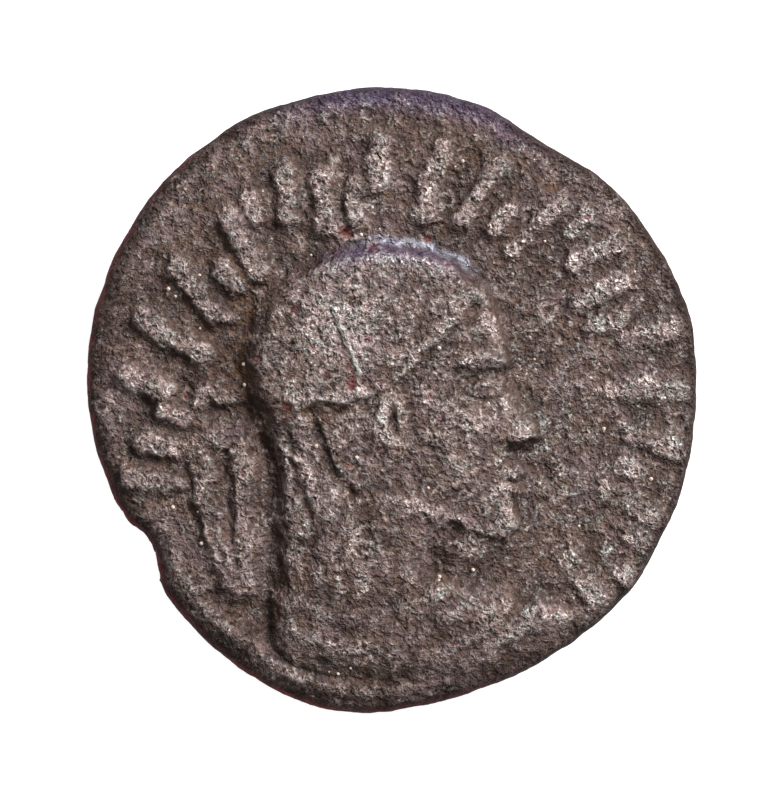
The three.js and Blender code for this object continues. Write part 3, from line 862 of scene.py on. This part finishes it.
# %% [markdown]
# ## Rubbing, soil and stains
#
# The top of the hair and the strokes are rubbed the most. The back slope of the head, which faces away from
# the lamp, keeps few pale grains as painted shade, and brown earth stays in the angle to the field. A few
# wide dark patches darken the field. Patches like these follow no rule, so each is a soft hill at its own
# place, in a list with its size and its strength.

# %% Rubbed hair and strokes
RUBBED_HAIR = {"at": (-1.5, 2.6), "size": (1.9, 1.3)}
SPECKLED = [
    {"at": (-0.5, 2.4), "size": (3.6, 2.2), "strength": 0.6},
    {"at": (5.6, -1.0), "size": (1.7, 3.5), "strength": 0.4},
]


def patches(places):
    """Soft patches on the coin, from a list of places, sizes and strengths."""
    return sum(patch["strength"] * bump(px, py, patch["at"], patch["size"]) for patch in places)


rubbed_hair = 2.3 * bump(x, y, RUBBED_HAIR["at"], RUBBED_HAIR["size"]) - 0.6
rubbed_hair = cap * ease(depth / 0.16) * rubbed_hair
rubbed_marks = ease((marks - 0.5) / 0.4)
back_of_head = ease((0.35 - u) / 0.2) * ease((v - 0.35) / 0.1)
# Painted shade on the back slope of the head, which faces away from the lamp: it gets few pale grains.
shaded_back = ease((0.16 - depth) / 0.1) * ease(depth / 0.01) * back_of_head
rubbed = 0.8 * worn + 0.35 * on_obverse(rubbed_hair + rubbed_marks)
# Rubbing is held back by a base amount, the painted shade at the back of the head, the wall and the band near
# the rim.
spared_and_shaded = 0.3 + 0.8 * on_obverse(shaded_back) + 0.6 * wall + 0.3 * ease((0.9 - to_rim) / 0.5)
speckled = patches(SPECKLED) + 0.55 * ease((px - 3.5) / 2) * ease(to_rim / 0.9)
print("share of the coin that is rubbed:", round(float((rubbed > spared_and_shaded).mean()), 2))

# %% Soil
PACKED_EARTH = [  # behind the head and under the hair's rolled edge
    {"at": (-5.3, 2.2), "size": (0.7, 2.6), "strength": 0.75},
    {"at": (-2.9, -0.35), "size": (1.3, 0.4), "strength": 1.4},
]
LOOSE_EARTH = [  # between strokes at the upper right
    {"at": (5.75, 7.7), "size": (0.3, 0.25), "strength": 1.0},
    {"at": (3.0, 8.7), "size": (0.7, 0.3), "strength": 0.7},
]

dusty = ease(rough(px, py, 0.35, 3, pz * 0.35 + 5))
low_grain = ease(0.5 - fine_crest / 0.02)
soil = 0.5 * hollow * dusty + patches(PACKED_EARTH) * low_grain + patches(LOOSE_EARTH) * (up_facing > 0)
print("share of the coin under soil:", round(float((soil > 0.3).mean()), 3))

# %% Dark patches
DARK_PATCH_PLACES = [
    {"at": (-6.2, 2.2), "size": (1.3, 2.6), "strength": 0.3},
    {"at": (5.8, 6.0), "size": (2.2, 2.4), "strength": 0.25},
    {"at": (-5.6, -8.0), "size": (1.4, 1.2), "strength": 0.25},
    {"at": (0.4, -8.4), "size": (4.2, 1.4), "strength": 0.25},
    {"at": (-1.6, -3.8), "size": (1.4, 1.6), "strength": 0.2},
    {"at": (2.0, 3.4), "size": (1.2, 2.4), "strength": 0.2},
    {"at": (-3.0, 8.6), "size": (3.4, 0.9), "strength": 0.1},
    {"at": (9.6, -0.5), "size": (1.5, 5.0), "strength": 0.18},
]
dark_patches = patches(DARK_PATCH_PLACES) * (up_facing > 0)
print("darkest stain:", round(float(dark_patches.max()), 2))

# %% [markdown]
# ## List of masks
#
# The mesh carries each mask to the material as an attribute of its points. A material could also be painted
# on an image, but attributes need no unfolded map and stay sharp at any distance.

# %% All masks
MASKS = {
    "worn": np.clip(rubbed - spared_and_shaded, 0, 1),
    "speckled": (1 - wall) * speckled,
    "hollow": hollow,
    "soil": np.clip(soil, 0, 1),
    "dark_patches": dark_patches,
    "eaten": eaten,
    "pits": on_obverse(red_pits),
    "pit_rims": on_obverse(pit_rims),
    "scratch": on_obverse(np.maximum(scratch, scratch_shade)),
    "scratch_lip": on_obverse(scratch_lip),
    "shaded_flank": shaded_flank,
    "painted_rim_shade": painted_rim_shade,
    "red_rim_line": red_rim,
    "painted_violet_sheen": np.clip(top_rim_sheen + 0.75 * head_top_sheen, 0, 1),
    "top_glint": top_glint,
}
for name, mask in MASKS.items():
    print(f"{name}: mean {mask.mean():.2f}, most {mask.max():.2f}")

# %% [markdown]
# ## Material
#
# Expressions on shader values read like the maths they stand for. The small class below wraps a node's
# output, so that a product or a sum adds its Math node by itself, and one method makes every other node. It
# works in any node tree, so the sand uses it too.


# %% Shader values as Python values
class Value:
    """An output of a node that can be used in an expression, or none yet, as a start in a tree."""

    def __init__(self, tree, socket):
        self.tree = tree
        self.socket = socket

    def make(self, kind, settings=None, inputs=None, output=0):
        """A new node of a kind, with its settings and the values or links of its sockets."""
        node = self.tree.nodes.new(kind)
        for name, setting in (settings or {}).items():
            setattr(node, name, setting)
        for name, value in (inputs or {}).items():
            if isinstance(value, Value):
                self.tree.links.new(value.socket, node.inputs[name])
            else:
                node.inputs[name].default_value = value
        return Value(self.tree, node.outputs[output])

    def maths(self, operation, first, second, clamp=False):
        """A Math node between two values or numbers."""
        settings = {"operation": operation, "use_clamp": clamp}
        return self.make("ShaderNodeMath", settings, {0: first, 1: second})

    def __add__(self, other):
        return self.maths("ADD", self, other)

    def __sub__(self, other):
        return self.maths("SUBTRACT", self, other)

    def __rsub__(self, other):
        return self.maths("SUBTRACT", other, self)

    def __mul__(self, other):
        return self.maths("MULTIPLY", self, other)

    __radd__ = __add__
    __rmul__ = __mul__

    def clamped(self):
        """The value, kept between 0 and 1."""
        return self.maths("ADD", self, 0.0, clamp=True)

    def twin(self, output):
        """Another output of the same node."""
        return Value(self.tree, self.socket.node.outputs[output])


def paint(red, green, blue):
    """A colour as a screen shows it, from 0 to 255, as the linear light that a shader takes."""
    return (*[((level / 255 + 0.055) / 1.055) ** 2.4 for level in (red, green, blue)], 1)


print("half of a screen's white is", round(paint(128, 128, 128)[0], 2), "of its light")

# %% [markdown]
# ## Patina
#
# From a step away the coin is a dark warm brown. Up close it is three things: a brown mineral skin, pale
# worm-like ridges where grains of metal come through, densest on the crests, and dark gaps between them. A
# ridge is the line where a noise crosses its middle value, so one minus the distance from that value draws
# it. Soil, red copper oxide in the pits, a red line on the rim at the lower left, a painted violet sheen at
# the top and painted shade in the hollows and at the edge lie over that.
#
# A picture of old bronze could be wrapped round the coin, but it would show seams at the edge and wouldn't
# know where the crests are. Noise in three dimensions has no seams, and the masks tell it what is rubbed.

# %% Colours of the patina
BROWN_DARK = paint(52, 39, 36)
BROWN = paint(86, 67, 61)
MAUVE = paint(102, 85, 87)
OLIVE = paint(78, 58, 40)
BROWN_GREY = paint(122, 103, 100)
PALE_METAL = paint(228, 214, 209)
GAP_AND_SHADE = paint(32, 19, 16)
GLINT = paint(206, 210, 204)
COLD_GLINT = paint(200, 206, 222)
SOIL = paint(95, 68, 47)
DEEP_RED = paint(102, 37, 38)
SHEEN_VIOLET = paint(62, 51, 96)
print("the brown skin as linear light:", [round(level, 3) for level in BROWN[:3]])

# %% Patterns that the patina is made of
material = bpy.data.materials.new("patinated_bronze")
material.use_nodes = True
tree = material.node_tree
shader = tree.nodes["Principled BSDF"]
start = Value(tree, None)
object_place = start.make("ShaderNodeTexCoord", output="Object")
place = start.make("ShaderNodeVectorMath", {"operation": "SCALE"}, {0: object_place, "Scale": 1 / MM})


def grain(per_mm, detail=2.0, roughness=0.5, distortion=0.0):
    """Noise with per_mm lumps in a millimetre."""
    sockets = {"Vector": place, "Scale": per_mm, "Detail": detail}
    sockets |= {"Roughness": roughness, "Distortion": distortion}
    return start.make("ShaderNodeTexNoise", {}, sockets)


def mask(name):
    """One of the masks that the mesh carries."""
    return start.make("ShaderNodeAttribute", {"attribute_name": name}, output="Fac")


def step(value, low, high):
    """Goes smoothly from 0 to 1 while the value goes from low to high."""
    settings = {"interpolation_type": "SMOOTHSTEP"}
    return start.make("ShaderNodeMapRange", settings, {"Value": value, "From Min": low, "From Max": high})


def mix(amount, first, second):
    """Two colours, mixed."""
    sockets = {0: amount.clamped(), 6: first, 7: second}
    return start.make("ShaderNodeMix", {"data_type": "RGBA"}, sockets, output=2)


def ridges(noise_value, width):
    """Thin lines where a noise crosses its middle value."""
    away = noise_value.maths("ABSOLUTE", noise_value - 0.5, 0.0)
    return 1 - step(away, 0.0, width)


print("nodes to start with:", len(tree.nodes))

# %% Pale grains and the gaps between them
worn_mask = mask("worn")
shaded_flank_mask = mask("shaded_flank")
mottle = grain(0.9, 4, 0.6)
coarse = grain(2.4, 1.5, 0.5, 0.6)
fine = grain(5.4, 1, 0.5, 0.5)
worms = ridges(grain(3.0, 1.5, 0.5, 0.9), 0.055)
worms_fine = ridges(grain(6.2, 1, 0.5, 0.6), 0.08)
sparks = step(grain(8.5, 0, 0.5, 0.3), 0.62, 0.72)
gaps = step(fine, 0.46, 0.36)

crowd = step(coarse, 0.44, 0.62)
rubbed_skin = worn_mask * (0.16 + 0.34 * step(mottle, 0.4, 0.62))
crests = (0.04 + 0.18 * crowd + rubbed_skin) * (1 - mask("dark_patches")) * (1 - mask("scratch"))
pale = (worms * (0.3 + 0.7 * worn_mask) + worms_fine * 0.6 + sparks * 0.9) * crests
# Pale grains thin out under the painted shade of the rim's edge and the flanks.
pale = pale * (0.7 + 0.7 * mask("speckled")) * (1 - 0.6 * mask("painted_rim_shade")) * (1 - 0.4 * shaded_flank_mask)
print("nodes so far:", len(tree.nodes))

# %% Small craters
# A round hole with a lifted and broken rim, in some of the cells of a Voronoi pattern.
CRATER_CELLS_PER_MM = 1.7
CHOSEN_CELLS = 0.8  # cells whose random number is below this have no crater
cell_pattern = {"Vector": place, "Scale": CRATER_CELLS_PER_MM}
from_centre = start.make("ShaderNodeTexVoronoi", {}, cell_pattern, output="Distance")
lot = start.make("ShaderNodeSeparateColor", {}, {0: from_centre.twin("Color")}, output="Red")
chosen = step(lot, CHOSEN_CELLS, CHOSEN_CELLS + 0.04) * worn_mask * (1 - shaded_flank_mask)
craters = (1 - step(from_centre, 0.12, 0.24)) * chosen
crater_rims = (step(from_centre, 0.18, 0.25) - step(from_centre, 0.27, 0.4)) * chosen
crater_rims = crater_rims * step(fine, 0.45, 0.55)
print("nodes so far:", len(tree.nodes))

# %% Colours, one over the other
# How much each mask darkens the skin. Hollows and grooves, steep flanks, the scored line with its end pit and
# the rim's edge get painted shade; the eaten patches and the dark patches are darkened too.
SHADING = {"hollow": 0.27, "shaded_flank": 0.1, "eaten": 0.25, "scratch": 1.2, "painted_rim_shade": 0.7, "dark_patches": 1.0}
shade = sum(mask(name) * amount for name, amount in SHADING.items())
metal = mix(step(grain(1.3, 2), 0.45, 0.6), PALE_METAL, GLINT)
red_rim_amount = mask("red_rim_line") * (0.2 + 0.6 * step(grain(1.1, 4, 0.6), 0.42, 0.58))
pit_rim_amount = mask("pit_rims") * step(fine, 0.4, 0.55) * 0.2
red_pit_amount = mask("pits") * step(mottle, 0.35, 0.55) * 0.5
LAYERS = [
    (step(grain(0.55, 3, 0.6), 0.45, 0.62) * 0.5, MAUVE),  # wide patches
    (step(grain(3.4, 3, 0.6), 0.48, 0.62) * 0.5, OLIVE),  # small patches
    (worn_mask * 0.8 * step(fine, 0.4, 0.6), BROWN_GREY),  # rubbed skin
    # Painted violet sheen at the top of the rim and of the head.
    (mask("painted_violet_sheen") * 0.45, SHEEN_VIOLET),
    (gaps * 0.65, GAP_AND_SHADE),
    # Painted shade, in the colour of the gaps.
    (shade, GAP_AND_SHADE),
    (pale + mask("scratch_lip") * 0.6, metal),  # bare grains and the lip of the scored line
    # The painted highlight above the head.
    (mask("top_glint") * (0.15 + 0.4 * crowd), COLD_GLINT),
    (mask("painted_violet_sheen") * 0.12, SHEEN_VIOLET),  # a thin veil over the grains too
    (red_rim_amount, DEEP_RED),
    (mask("soil") * step(grain(3.0, 4, 0.6), 0.4, 0.58) * 0.65, SOIL),
    (crater_rims * 0.3 + pit_rim_amount, PALE_METAL),
    (craters * 0.7 + red_pit_amount, DEEP_RED),
]
colour = mix(step(mottle, 0.35, 0.65), BROWN_DARK, BROWN)
for amount, tint in LAYERS:
    colour = mix(amount, colour, tint)
print("layers of colour:", len(LAYERS) + 1)

# %% Relief of the grain, and the shader
GRAIN_RELIEF = 0.2 * MM
relief_grain = fine * 0.8 + worms * 0.1 + worms_fine * 0.08 + coarse * 1.1
relief_grain = relief_grain + crater_rims * 0.2 - craters * 0.4
bumps = start.make("ShaderNodeBump", {}, {"Strength": 1.0, "Distance": GRAIN_RELIEF, "Height": relief_grain})
finish = {
    "Base Color": colour,
    "Normal": bumps,
    "Roughness": (0.62 - 0.25 * pale + 0.15 * gaps + 0.3 * mask("painted_rim_shade")).clamped(),
    "Metallic": (0.6 * pale + 0.15 * worn_mask).clamped(),
}
for socket, value in finish.items():
    tree.links.new(value.socket, shader.inputs[socket])
shader.inputs["Specular IOR Level"].default_value = 0.15
print("nodes of the patina:", len(tree.nodes))

# %% [markdown]
# ## The coin
#
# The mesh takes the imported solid's place: it rides on the same body and hides the solid, which stays in the
# model for collisions. Its object sits at the origin and all sizes are in the mesh, in metres.

# %% Make the piece
mesh = bpy.data.meshes.new("struck_coin")
mesh.from_pydata((points * MM).tolist(), [], triangles.tolist())
mesh.shade_smooth()
for name, values in MASKS.items():
    attribute = mesh.attributes.new(name, "FLOAT", "POINT")
    attribute.data.foreach_set("value", values.astype(np.float32))
mesh.materials.append(material)
coin = bpy.data.objects.new("struck_coin", mesh)
bpy.context.scene.collection.objects.link(coin)
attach(coin, "root")
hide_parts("coin")
print("triangles of the coin:", len(mesh.polygons))

# %% [markdown]
# ## Sand
#
# A few grains of sand still stick in the hollows. They could be set by hand, but they repeat, so Geometry
# Nodes scatter them: points on the faces of the coin, as dense as the hollow mask says, with a small ball of
# 20 faces on each. The tree is built here, with its sizes as inputs and a fixed seed, and ends in plain mesh.

# %% Build the tree that scatters grains
GRAINS_PER_SQUARE_METRE = 0.35e6
GRAIN_SIZES = (0.03 * MM, 0.09 * MM)
GRAIN_SEED = 4


def scatter_tree():
    """A node group that turns a surface into the grains that lie on it."""
    group = bpy.data.node_groups.new("scatter_grains", "GeometryNodeTree")
    sockets = {
        "Surface": "Geometry", "Grains per square metre": "Float", "Smallest": "Float", "Largest": "Float",
        "Seed": "Int", "Material": "Material",
    }  # fmt: skip
    for name, kind in sockets.items():
        group.interface.new_socket(name, in_out="INPUT", socket_type="NodeSocket" + kind)
    group.interface.new_socket("Grains", in_out="OUTPUT", socket_type="NodeSocketGeometry")
    surface = Value(group, None).make("NodeGroupInput", output="Surface")
    seed = surface.twin("Seed")
    hollows = surface.make(
        "GeometryNodeInputNamedAttribute", {"data_type": "FLOAT"}, {"Name": "hollow"}, output="Attribute"
    )
    density = hollows * surface.twin("Grains per square metre")
    spots = surface.make(
        "GeometryNodeDistributePointsOnFaces",
        {},
        {"Mesh": surface, "Density": density, "Seed": seed},
        output="Points",
    )
    ball = surface.make("GeometryNodeMeshIcoSphere", {}, {"Radius": 1, "Subdivisions": 1}, output="Mesh")
    limits = {2: surface.twin("Smallest"), 3: surface.twin("Largest"), "Seed": seed}
    size = surface.make("FunctionNodeRandomValue", {}, limits, output=1)
    placing = {"Points": spots, "Rotation": spots.twin("Rotation"), "Instance": ball, "Scale": size}
    grains = surface.make("GeometryNodeInstanceOnPoints", {}, placing, output="Instances")
    real = surface.make("GeometryNodeRealizeInstances", {}, {"Geometry": grains})
    dressing = {"Geometry": real, "Material": surface.twin("Material")}
    dressed = surface.make("GeometryNodeSetMaterial", {}, dressing)
    leave = group.nodes.new("NodeGroupOutput")
    group.links.new(dressed.socket, leave.inputs["Grains"])
    return group


scatter = scatter_tree()
print("nodes of the scatter tree:", len(scatter.nodes))

# %% Colour of the grains
SAND_DARK, SAND_PALE = paint(136, 114, 92), paint(204, 192, 180)
SAND_TINTS_PER_MM = 0.9

sand = bpy.data.materials.new("sand")
sand.use_nodes = True
sand_start = Value(sand.node_tree, None)
sand_place = sand_start.make("ShaderNodeTexCoord", output="Object")
sand_pattern = {"Vector": sand_place, "Scale": SAND_TINTS_PER_MM / MM}
sand_noise = sand_start.make("ShaderNodeTexNoise", {}, sand_pattern)
sand_colours = {0: sand_noise, 6: SAND_DARK, 7: SAND_PALE}
sand_tint = sand_start.make("ShaderNodeMix", {"data_type": "RGBA"}, sand_colours, output=2)
sand_shader = sand.node_tree.nodes["Principled BSDF"]
sand.node_tree.links.new(sand_tint.socket, sand_shader.inputs["Base Color"])
sand_shader.inputs["Roughness"].default_value = 0.7
print("nodes of the sand's material:", len(sand.node_tree.nodes))

# %% Scatter the grains
surface = bpy.data.objects.new("grain_surface", mesh)
bpy.context.scene.collection.objects.link(surface)
modifier = surface.modifiers.new("grains", "NODES")
modifier.node_group = scatter
settings = {
    "Grains per square metre": GRAINS_PER_SQUARE_METRE,
    "Smallest": GRAIN_SIZES[0],
    "Largest": GRAIN_SIZES[1],
    "Seed": GRAIN_SEED,
    "Material": sand,
}
for item in modifier.node_group.interface.items_tree:
    if item.name in settings:
        modifier[item.identifier] = settings[item.name]
evaluated = surface.evaluated_get(bpy.context.evaluated_depsgraph_get())
grains_mesh = bpy.data.meshes.new_from_object(evaluated)
grains_mesh.name = "sand_grains"
bpy.data.objects.remove(surface)
grains = bpy.data.objects.new("sand_grains", grains_mesh)
bpy.context.scene.collection.objects.link(grains)
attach(grains, "root")
print("triangles of the sand:", len(grains_mesh.polygons))

# %% [markdown]
# ## Floor and light
#
# The photograph's ground is pure white and shows no shadow, like a light table. A pale floor that glows a
# little does the same. The light is soft all round, with one large lamp at the upper right, so the left
# sides of the portrait and the marks fall dark.

# %% Floor and sky
FLOOR_SIZE = 1.2
PAPER_GREY = (0.35, 0.35, 0.35, 1)
PAPER_GLOW = 0.92
SKY_COLOUR, SKY_STRENGTH = (1, 0.99, 0.98, 1), 0.28

floor_mesh = bpy.data.meshes.new("floor")
corner = FLOOR_SIZE / 2
floor_corners = [(-corner, -corner, 0), (corner, -corner, 0), (corner, corner, 0), (-corner, corner, 0)]
floor_mesh.from_pydata(floor_corners, [], [(0, 1, 2, 3)])
floor = bpy.data.objects.new("floor", floor_mesh)
bpy.context.scene.collection.objects.link(floor)
paper = bpy.data.materials.new("paper")
paper.use_nodes = True
paper_shader = paper.node_tree.nodes["Principled BSDF"]
paper_shader.inputs["Base Color"].default_value = PAPER_GREY
paper_shader.inputs["Roughness"].default_value = 0.9
paper_shader.inputs["Emission Color"].default_value = (1, 1, 1, 1)
paper_shader.inputs["Emission Strength"].default_value = PAPER_GLOW
floor_mesh.materials.append(paper)

world = bpy.data.worlds.new("studio")
world.use_nodes = True
sky = world.node_tree.nodes["Background"]
sky.inputs["Color"].default_value = SKY_COLOUR
sky.inputs["Strength"].default_value = SKY_STRENGTH
bpy.context.scene.world = world
bpy.context.scene.view_settings.view_transform = "Standard"
print("floor in metres:", FLOOR_SIZE, "sky strength:", SKY_STRENGTH)

# %% Lamps
LAMPS = [
    {"name": "key", "place": (0.18, 0.18, 0.19), "size": 0.16, "power": 3.1},
    {"name": "overhead", "place": (0.05, 0.05, 0.4), "size": 0.25, "power": 0.2},
]


def lamp(name, place, size, power):
    """A square soft light, aimed at the coin. Its place and size are in metres."""
    data = bpy.data.lights.new(name, "AREA")
    data.size = size
    data.energy = power
    light = bpy.data.objects.new(name, data)
    light.location = place
    light.rotation_euler = (-Vector(place)).to_track_quat("-Z", "Y").to_euler()
    bpy.context.scene.collection.objects.link(light)


for settings in LAMPS:
    lamp(**settings)
    print("lamp", settings["name"], "has", settings["power"], "watts")
